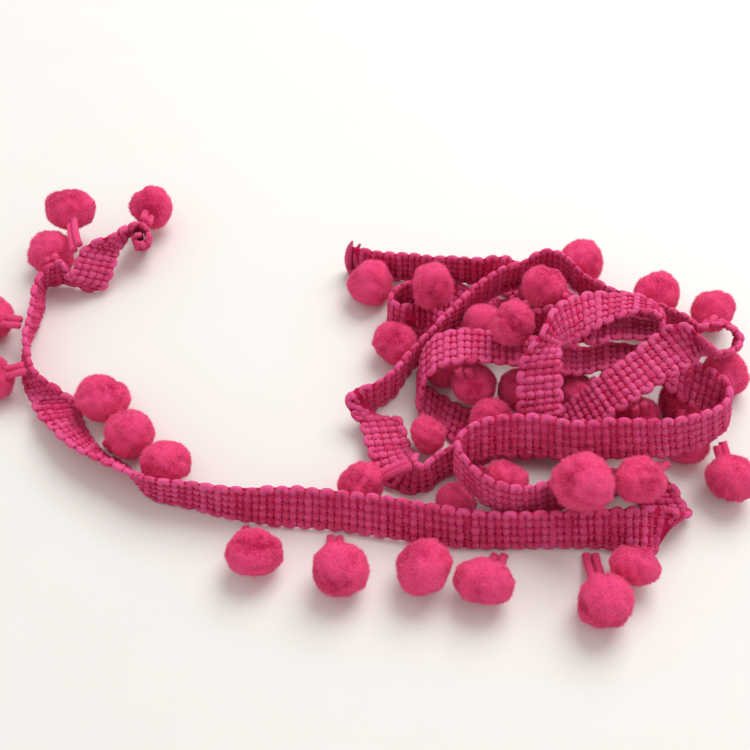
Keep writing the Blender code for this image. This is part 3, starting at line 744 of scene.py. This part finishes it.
loose_points = []
loose_strand = []
loose_faces = []
loose_fibres = []
loose_random = np.random.default_rng(31)
for loose_end in LOOSE_ENDS:
    loose_rows = np.array(loose_end)
    loose_places = from_picture(loose_rows[:, 0], loose_rows[:, 1], loose_rows[:, 2])
    loose_curve = smooth_curve(np.hstack([loose_places, loose_rows[:, 3:]]), LOOSE_SAMPLES_PER_ROW)
    loose_line = loose_curve[:, :3]
    loose_radius = loose_curve[:, 3]
    loose_up = np.broadcast_to(tape_face[-1], loose_line.shape)
    end_points, end_strand = tube_around(loose_line, loose_up, loose_radius, loose_radius, WEFT_SIDES)
    before = sum(len(points) for points in loose_points)
    loose_faces += [part + before for part in ring_faces(len(loose_line), WEFT_SIDES)]
    loose_points.append(end_points)
    loose_strand.append(end_strand)
    loose_fibres.append(fuzz_on_yarn(end_points, loose_line, WEFT_SIDES, LOOSE_FIBRES, loose_random))
yarn_points = np.concatenate(loose_points)
fibre_parts = [np.concatenate(column) for column in zip(*loose_fibres)]
fibre_points, fibre_faces = fibre_triangles(*fibre_parts, FUZZ_WIDTH, loose_random)
loose_points = np.concatenate([yarn_points, fibre_points])
loose_strand = np.concatenate(loose_strand + [fibre_points])
loose_faces.append(fibre_faces + len(yarn_points))
loose = put_in_scene(
    "tape_frayed_end", loose_points, loose_faces, weft_material,
    values=[("tone_and_crease_shade", np.full(len(loose_points), LOOSE_TINT))], vectors=[("strand", loose_strand)],
)
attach(loose, "root")
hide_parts("tape")


# The pompoms.  Each is a small ball of cut yarn, tied on a loop of yarn that comes out of the
# tape's lower edge as two legs.  They are combed soft, so no two are the same round.
# Columns: where the stem leaves the tape along its length, the ball's picture column and row, the
# height of its middle, and its width and height in the picture.
POMPOMS = [
    (10, 147, 221, 5.4, 38, 40),
    (27, 68, 212, 11.0, 46, 40),
    (45, 54, 249, 5.6, 42, 42),
    (62, -11, 319, 5.6, 44, 44),
    (76, -11, 377, 5.6, 44, 44),
    (90, 101, 398, 5.8, 50, 46),
    (108, 131, 433, 5.8, 46, 50),
    (124, 166, 461, 5.4, 52, 40),
    (146, 254, 552, 5.8, 58, 46),
    (164, 339, 570, 6.0, 57, 54),
    (182, 422, 566, 6.0, 56, 56),
    (199, 485, 580, 6.0, 60, 47),
    (217, 608, 597, 6.0, 52, 54),
    (231, 632, 568, 5.6, 50, 40),
    (285, 514, 464, 10.0, 46, 42),
    (305, 460, 501, 4.2, 42, 40),
    (325, 580, 484, 15.0, 58, 56),
    (345, 636, 492, 11.0, 49, 44),
    (358, 729, 477, 5.8, 48, 46),
    (374, 695, 446, 5.6, 46, 44),
    (393, 573, 391, 6.0, 46, 44),
    (411, 508, 390, 5.6, 46, 44),
    (429, 474, 386, 5.6, 44, 42),
    (500, 630, 413, 5.8, 46, 44),
    (514, 690, 412, 5.8, 46, 44),
    (530, 724, 371, 6.0, 46, 44),
    (546, 714, 312, 5.6, 40, 40),
    (563, 657, 294, 5.6, 45, 42),
    (584, 580, 262, 5.6, 44, 42),
    (612, 483, 318, 6.0, 42, 40),
    (638, 396, 342, 5.4, 43, 44),
    (665, 424, 441, 4.6, 36, 38),
    (679, 370, 488, 5.6, 46, 46),
    (697, 492, 412, 5.6, 44, 42),
    (715, 592, 426, 6.0, 44, 42),
    (745, 546, 291, 17.5, 46, 44),
    (802, 509, 334, 17.5, 42, 44),
    (849, 425, 294, 11.0, 40, 46),
    (950, 371, 281, 5.6, 45, 45),
]

# Those that the tape hides in the heap: where their stems leave it, and how wide their balls are.
HIDDEN_POMPOMS = [
    (484, 9.6),
    (769, 10.0),
    (787, 9.8),
    (824, 9.8),
    (884, 9.6),
]
HIDDEN_STEM_LENGTH = 3.2
HIDDEN_BALL_TOP = 7.0
PART_GAP = 0.32
BALL_ON_FLOOR = 0.82
BALL_EASING_ROUNDS = 400
BALL_CORE = 0.95
BALL_CORE_SIDES = 40
BALL_CORE_RINGS = 26
BALL_LUMP = 0.10
BALL_LOBES = 7
BALL_LOBE_SHARPNESS = 15.0
BALL_LOBE_HEIGHT = 3.2
BALL_LOBE_LEVEL = 0.80
BALL_LOBE_LIMITS = (-1.3, 1.0)
BALL_WAVES = 14
BALL_WAVE_RATES = (4.0, 17.0)
BALL_WAVE_EVENING = 4.0
BALL_WAVE_SHARE = 0.45
BALL_FIBRES = 8400
BALL_FIBRE_LENGTH = (0.045, 0.13)
BALL_FIBRE_WIDTH = 0.085
BALL_TUFT_LEAN = 0.45
BALL_FIBRE_LEAN = 0.55
LONG_FIBRE_SHARE = 0.03
LONG_FIBRE = 1.8
# The pile is the same yarn as the core, coloured lighter and paler: a painted sheen on the cut ends.
CORE_DEEP = (0.60, 0.010, 0.10)
CORE_LIGHT = (0.93, 0.08, 0.26)
PILE_SHEEN_DEEP = (0.67, 0.016, 0.13)
PILE_SHEEN_LIGHT = (1.0, 0.14, 0.36)
BALL_GROUPS = (
    ("pompoms_tail", 0, 8), ("pompoms_front", 8, 17), ("pompoms_right", 17, 26),
    ("pompoms_back", 26, 36), ("pompoms_inside", 36, 44),
)
STEM_RADIUS = 0.8
STEM_LEG_SPREAD = 0.92
STEM_REACH_INTO_BALL = 0.45
STEM_LEAD_OUT = 2.6
STEM_ROOT_INSIDE = 0.6
STEM_SAMPLES = 25
STEM_FREE_SAMPLES = 5
STEM_FEWEST_SAMPLES = 3
STEM_DRAWN_RADIUS = 0.84
STEM_SIDES = 10
STEM_FIBRES = 420
STEM_TINT = 0.6
FIRST_BALL_SEED = 100
LUMP_SEEDS = 9999


def settle_balls(centres, radii, highest, rows):
    """Move the balls off the tape, off each other and onto the table.

    What can't move far enough is squeezed smaller in the end, as a soft ball is in a tight place.
    """
    centres = centres.copy()
    surface = rows.reshape(-1, 3)
    clear = 0.5 * TAPE_THICKNESS + PART_GAP
    for _ in range(BALL_EASING_ROUNDS):
        push = np.zeros_like(centres)
        for k in range(len(centres)):
            to_tape = centres[k] - surface
            length = np.linalg.norm(to_tape, axis=1)
            near = length.argmin()
            missing = radii[k] + clear - length[near]
            if missing > 0.0:
                push[k] += missing * to_tape[near] / max(length[near], MM)
            to_ball = centres[k] - centres
            length = np.linalg.norm(to_ball, axis=1)
            length[k] = np.inf
            missing = radii[k] + radii + PART_GAP - length
            for other in np.where(missing > 0.0)[0]:
                push[k] += 0.5 * missing[other] * to_ball[other] / max(length[other], MM)
        centres += 0.5 * push
        centres[:, 2] = np.clip(centres[:, 2], BALL_ON_FLOOR * radii, highest)
    size = np.ones(len(centres))
    for k in range(len(centres)):
        room = np.linalg.norm(centres[k] - surface, axis=1).min() - clear
        size[k] = min(1.0, room / radii[k])
    for k in range(len(centres)):
        length = np.linalg.norm(centres[k] - centres, axis=1)
        for other in np.where(length < radii[k] * size[k] + radii * size + PART_GAP)[0]:
            if other != k:
                both = radii[k] * size[k] + radii[other] * size[other]
                share = (length[other] - PART_GAP) / both
                size[k] *= share
                size[other] *= share
    return centres, size


def all_balls(middle, way, length):
    """Every ball in the order of its stem: the stem's place, the ball's middle and its radii."""
    seen = np.array(POMPOMS, dtype=float)
    hidden = np.array(HIDDEN_POMPOMS, dtype=float)
    places = from_picture(seen[:, 1], seen[:, 2], seen[:, 3])
    eye = np.array((0.0, -EYE_HEIGHT / math.tan(PITCH), EYE_HEIGHT))
    mm_per_px = np.linalg.norm(places - eye, axis=1) / FOCAL_PX
    wide = 0.5 * seen[:, 4] * mm_per_px
    tall = 0.5 * seen[:, 5] * mm_per_px
    reach = TAPE_HALF_WIDTH + HIDDEN_STEM_LENGTH + 0.5 * hidden[:, 1]
    lead = unit(at_length(hidden[:, 0], length, way))
    hanging = at_length(hidden[:, 0], length, middle) + reach[:, None] * lead
    hanging[:, 2] = np.minimum(hanging[:, 2], HIDDEN_BALL_TOP)
    roots = np.concatenate([seen[:, 0], hidden[:, 0]])
    centres = np.concatenate([places, hanging])
    wide = np.concatenate([wide, 0.5 * hidden[:, 1]])
    tall = np.concatenate([tall, 0.5 * hidden[:, 1]])
    highest = np.concatenate([np.full(len(seen), np.inf), np.full(len(hidden), HIDDEN_BALL_TOP)])
    rows = across_tape(middle, way)
    centres, size = settle_balls(centres, np.maximum(wide, tall), highest, rows)
    shapes = size[:, None] * np.stack([wide, tall, tall], axis=-1)
    order = np.argsort(roots)
    return roots[order], centres[order], shapes[order]


def lumps(directions, random):
    """Uneven combed yarn, from -1 to 1 or so: round lobes that meet in soft creases, as the smooth
    maximum of cos(angle to each lobe's middle), and a sum of sines along random axes on top."""
    middles = unit(random.normal(size=(BALL_LOBES, 3)))
    nearness = np.exp(BALL_LOBE_SHARPNESS * (directions @ middles.T - 1.0)).sum(axis=1)
    nearness = 1.0 + np.log(nearness) / BALL_LOBE_SHARPNESS
    lobes = np.clip(BALL_LOBE_HEIGHT * (nearness - BALL_LOBE_LEVEL), *BALL_LOBE_LIMITS)
    axes = unit(random.normal(size=(BALL_WAVES, 3)))
    rates = random.uniform(*BALL_WAVE_RATES, BALL_WAVES)
    phases = random.uniform(0.0, 2.0 * math.pi, BALL_WAVES)
    waves = np.sin(directions @ (axes * rates[:, None]).T + phases).sum(axis=1)
    return lobes + BALL_WAVE_SHARE * waves / BALL_WAVE_EVENING


def on_ball(centre, radii, random_lump, directions):
    """Places on a ball's lumpy surface: centre + radii * direction * (1 + lump)."""
    lumpy = 1.0 + BALL_LUMP * random_lump(directions)
    return centre + BALL_CORE * radii * directions * lumpy[:, None]


def ball_core(centre, radii, random_lump):
    """A closed ball: its lumpy surface on a grid of turns and tilts, with one point at each pole
    and a flat foot where it would reach under the table."""
    tilt = np.linspace(0.0, math.pi, BALL_CORE_RINGS + 1)[1:-1]
    turn = 2.0 * math.pi * np.arange(BALL_CORE_SIDES) / BALL_CORE_SIDES
    tilt, turn = np.meshgrid(tilt, turn, indexing="ij")
    out = np.sin(tilt)
    directions = np.stack([out * np.cos(turn), out * np.sin(turn), np.cos(tilt)], axis=-1)
    directions = np.concatenate([directions.reshape(-1, 3), [(0.0, 0.0, 1.0), (0.0, 0.0, -1.0)]])
    points = on_ball(centre, radii, random_lump, directions)
    points[:, 2] = np.maximum(points[:, 2], 0.0)
    rings = BALL_CORE_RINGS - 1
    ring = np.arange(rings - 1)[:, None] * BALL_CORE_SIDES
    side = np.arange(BALL_CORE_SIDES)[None, :]
    after = (side + 1) % BALL_CORE_SIDES
    low = ring + BALL_CORE_SIDES
    quads = np.stack([ring + side, low + side, low + after, ring + after], axis=-1).reshape(-1, 4)
    top = rings * BALL_CORE_SIDES
    side = side[0]
    after = after[0]
    cap = np.stack([np.full_like(side, top), side, after], axis=-1)
    foot = top - BALL_CORE_SIDES
    base = np.stack([np.full_like(side, top + 1), foot + after, foot + side], axis=-1)
    return points, [quads, np.concatenate([cap, base])], directions


def ball_fibres(centre, radii, random_lump, random):
    """Cut ends all over the ball: roots on its lumpy surface, each pointing out and a little aside,
    with neighbours leaning the same way in small tufts."""
    directions = unit(random.normal(size=(BALL_FIBRES, 3)))
    roots = on_ball(centre, radii, random_lump, directions)
    turned = [directions[:, order] for order in ((1, 2, 0), (2, 0, 1), (0, 2, 1))]
    lean = BALL_TUFT_LEAN * np.stack([random_lump(way) for way in turned], axis=-1)
    ways = unit(directions + lean + BALL_FIBRE_LEAN * random.normal(size=directions.shape))
    lengths = radii.mean() * random.uniform(*BALL_FIBRE_LENGTH, BALL_FIBRES)
    longer = random.random(BALL_FIBRES) < LONG_FIBRE_SHARE
    lengths = lengths * np.where(longer, LONG_FIBRE, 1.0)
    points, faces = fibre_triangles(roots, ways, lengths, BALL_FIBRE_WIDTH, random)
    return points, faces, directions.repeat(3, axis=0)


def leg_line(root, lead, goal):
    """The line of one leg, which leaves the edge and bends over to its ball.  Where it passes
    tape closely, a short stem's own edge too, only the stretch from there to the ball is drawn."""
    bend = root + STEM_LEAD_OUT * lead
    share = np.linspace(0.0, 1.0, STEM_SAMPLES)[:, None]
    line = (1 - share) ** 2 * root + 2 * share * (1 - share) * bend + share**2 * goal
    surface = across_tape(tape_middle, tape_way).reshape(-1, 3)
    gap = np.linalg.norm(line[:, None] - surface[None], axis=2).min(axis=1)
    blocked = gap < STEM_RADIUS + 0.5 * TAPE_THICKNESS
    blocked[:STEM_FREE_SAMPLES] = False
    start = np.where(blocked)[0].max() + 1 if blocked.any() else 0
    return line[min(start, STEM_SAMPLES - STEM_FEWEST_SAMPLES):]


def stem_legs(root_at, centre, radii):
    """Both legs of a stem as soft tubes, which start at the tape's edge or where leg_line has
    them start, and end in the ball."""
    heading = np.gradient(tape_middle, axis=0)
    legs = []
    for side in (-1.0, 1.0):
        at = root_at + side * STEM_LEG_SPREAD
        place = at_length(at, tape_length, tape_middle)
        lead = unit(at_length(at, tape_length, tape_way))
        root = place + (TAPE_HALF_WIDTH - STEM_ROOT_INSIDE) * lead
        aside = side * STEM_LEG_SPREAD * unit(at_length(at, tape_length, heading))
        goal = centre + STEM_REACH_INTO_BALL * radii * unit(root - centre) + aside
        line = leg_line(root, lead, goal)
        line[:, 2] = np.maximum(line[:, 2], STEM_DRAWN_RADIUS)
        up = np.broadcast_to(unit(np.cross(goal - root, aside)), line.shape)
        legs.append(tube_around(line, up, STEM_DRAWN_RADIUS, STEM_DRAWN_RADIUS, STEM_SIDES))
    return legs


ball_roots, ball_centres, ball_shapes = all_balls(tape_middle, tape_way, tape_length)
core_material = cloth_material(
    "pompom_core", CORE_DEEP, CORE_LIGHT, tint_share=0.4, fibre_scale=2.2, bump=0.8, sheen=0.3
)
# The pile's lighter colours are a painted sheen.
pile_material = cloth_material(
    "pompom_pile", PILE_SHEEN_DEEP, PILE_SHEEN_LIGHT, tint_share=0.6, fibre_scale=1.8, bump=0.0, sheen=0.4
)
for group_name, first, last in BALL_GROUPS:
    # Each part is its points, its faces, their tone (on the balls with painted shade in the creases)
    # and strand place, and which material it has: 0 is the core's and 1 the pile's.
    parts = []
    for index in range(first, last):
        ball_random = np.random.default_rng(FIRST_BALL_SEED + index)
        lump_seed = int(ball_random.integers(1, LUMP_SEEDS))

        def own_lumps(directions, seed=lump_seed):
            """This ball's own lumps."""
            return lumps(directions, np.random.default_rng(seed))

        centre = ball_centres[index]
        radii = ball_shapes[index]
        core_points, core_faces, core_out = ball_core(centre, radii, own_lumps)
        # The core's tone follows its lumps: lighter on the lobes, darker in the creases, as painted
        # shade.
        parts.append((core_points, core_faces, 0.5 + 0.5 * own_lumps(core_out), core_points, 0))
        for leg_points, leg_strand in stem_legs(ball_roots[index], centre, radii):
            leg_faces = ring_faces(len(leg_points) // STEM_SIDES, STEM_SIDES)
            leg_tint = np.full(len(leg_points), STEM_TINT)
            parts.append((leg_points, leg_faces, leg_tint, leg_strand, 0))
            leg_middles = leg_points.reshape(-1, STEM_SIDES, 3).mean(axis=1)
            fuzz_at = fuzz_on_yarn(leg_points, leg_middles, STEM_SIDES, STEM_FIBRES, ball_random)
            leg_pile, leg_pile_faces = fibre_triangles(*fuzz_at, BALL_FIBRE_WIDTH, ball_random)
            leg_pile_tint = ball_random.random(STEM_FIBRES).repeat(3)
            parts.append((leg_pile, [leg_pile_faces], leg_pile_tint, leg_pile, 1))
        pile_points, pile_faces, pile_out = ball_fibres(centre, radii, own_lumps, ball_random)
        # Half of each fibre's tone is random, half follows the lumps: darker over the creases, as
        # painted shade.
        pile_tone_and_crease_shade = 0.5 * ball_random.random(BALL_FIBRES).repeat(3)
        pile_tone_and_crease_shade = pile_tone_and_crease_shade + 0.5 * (0.5 + 0.5 * own_lumps(pile_out))
        parts.append((pile_points, [pile_faces], pile_tone_and_crease_shade, pile_points, 1))
    offsets = np.concatenate([[0], np.cumsum([len(part[0]) for part in parts])])
    group_faces = [array + offset for part, offset in zip(parts, offsets) for array in part[1]]
    slots = [np.full(len(array), part[4]) for part in parts for array in part[1]]
    group = put_in_scene(
        group_name, np.concatenate([part[0] for part in parts]), group_faces, core_material,
        values=[("tone_and_crease_shade", np.concatenate([part[2] for part in parts]))],
        vectors=[("strand", np.concatenate([part[3] for part in parts]))],
    )
    group.data.materials.append(pile_material)
    group.data.polygons.foreach_set("material_index", np.concatenate(slots).astype(np.int32))
    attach(group, "root")
    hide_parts(*["pompom_%02d" % (index + 1) for index in range(first, last)])


# The table and the light.  A plain near-white surface, and soft daylight that comes from behind
# on the right, with pale light from all round.
TABLE_HALF = 3.0
TABLE_DEEP = (0.822, 0.812, 0.780, 1.0)
TABLE_LIGHT = (0.852, 0.842, 0.810, 1.0)
ROOM_COLOUR = (1.0, 0.98, 0.96, 1.0)
ROOM_STRENGTH = 0.64
WINDOW_PLACE = (0.30, 0.50, 0.80)
WINDOW_SIZE = 0.70
WINDOW_POWER = 7.2
floor_mesh = bpy.data.meshes.new("table_top")
floor_corners = [(x * TABLE_HALF, y * TABLE_HALF, 0.0) for x, y in ((-1, -1), (1, -1), (1, 1), (-1, 1))]
floor_mesh.from_pydata(floor_corners, [], [(0, 1, 2, 3)])
floor = bpy.data.objects.new("table_top", floor_mesh)
scene.collection.objects.link(floor)
floor_material = bpy.data.materials.new("pale_table")
floor_material.use_nodes = True
floor_shader = floor_material.node_tree.nodes["Principled BSDF"]
floor_shader.inputs["Roughness"].default_value = 0.6
floor_nodes = floor_material.node_tree.nodes
floor_links = floor_material.node_tree.links
floor_grain = floor_nodes.new("ShaderNodeTexNoise")
floor_grain.inputs["Scale"].default_value = 40.0
floor_ramp = floor_nodes.new("ShaderNodeValToRGB")
floor_ramp.color_ramp.elements[0].color = TABLE_DEEP
floor_ramp.color_ramp.elements[1].color = TABLE_LIGHT
floor_place = floor_nodes.new("ShaderNodeTexCoord")
floor_links.new(floor_place.outputs["Object"], floor_grain.inputs["Vector"])
floor_links.new(floor_grain.outputs["Fac"], floor_ramp.inputs["Fac"])
floor_links.new(floor_ramp.outputs["Color"], floor_shader.inputs["Base Color"])
floor_mesh.materials.append(floor_material)

world = bpy.data.worlds.new("room")
scene.world = world
world.use_nodes = True
world.node_tree.nodes["Background"].inputs["Color"].default_value = ROOM_COLOUR
world.node_tree.nodes["Background"].inputs["Strength"].default_value = ROOM_STRENGTH

window_lamp = bpy.data.lights.new("window", "AREA")
window_lamp.shape = "SQUARE"
window_lamp.size = WINDOW_SIZE
window_lamp.energy = WINDOW_POWER
window = bpy.data.objects.new("window", window_lamp)
scene.collection.objects.link(window)
# It faces the heap's middle on the table.
way = -np.array(WINDOW_PLACE)
window.location = WINDOW_PLACE
window.rotation_euler = (
    math.atan2(math.hypot(way[0], way[1]), -way[2]), 0.0, math.atan2(way[0], -way[1]) + math.pi
)


# The camera.  It looks down at the table as the photograph does, with its whole width of view.
PICTURE_PX = 750.0
SENSOR_WIDTH = 36.0
scene.view_settings.view_transform = "Standard"
camera_data = bpy.data.cameras.new("camera")
camera_data.sensor_width = SENSOR_WIDTH
camera_data.lens = SENSOR_WIDTH * FOCAL_PX / PICTURE_PX
camera_data.clip_start = 0.01
camera = bpy.data.objects.new("camera", camera_data)
camera_place = np.array((0.0, -EYE_HEIGHT / math.tan(PITCH), EYE_HEIGHT)) + TO_ORIGIN
camera.location = tuple(camera_place * MM)
camera.rotation_euler = (0.5 * math.pi - PITCH, 0.0, 0.0)
scene.collection.objects.link(camera)
scene.camera = camera
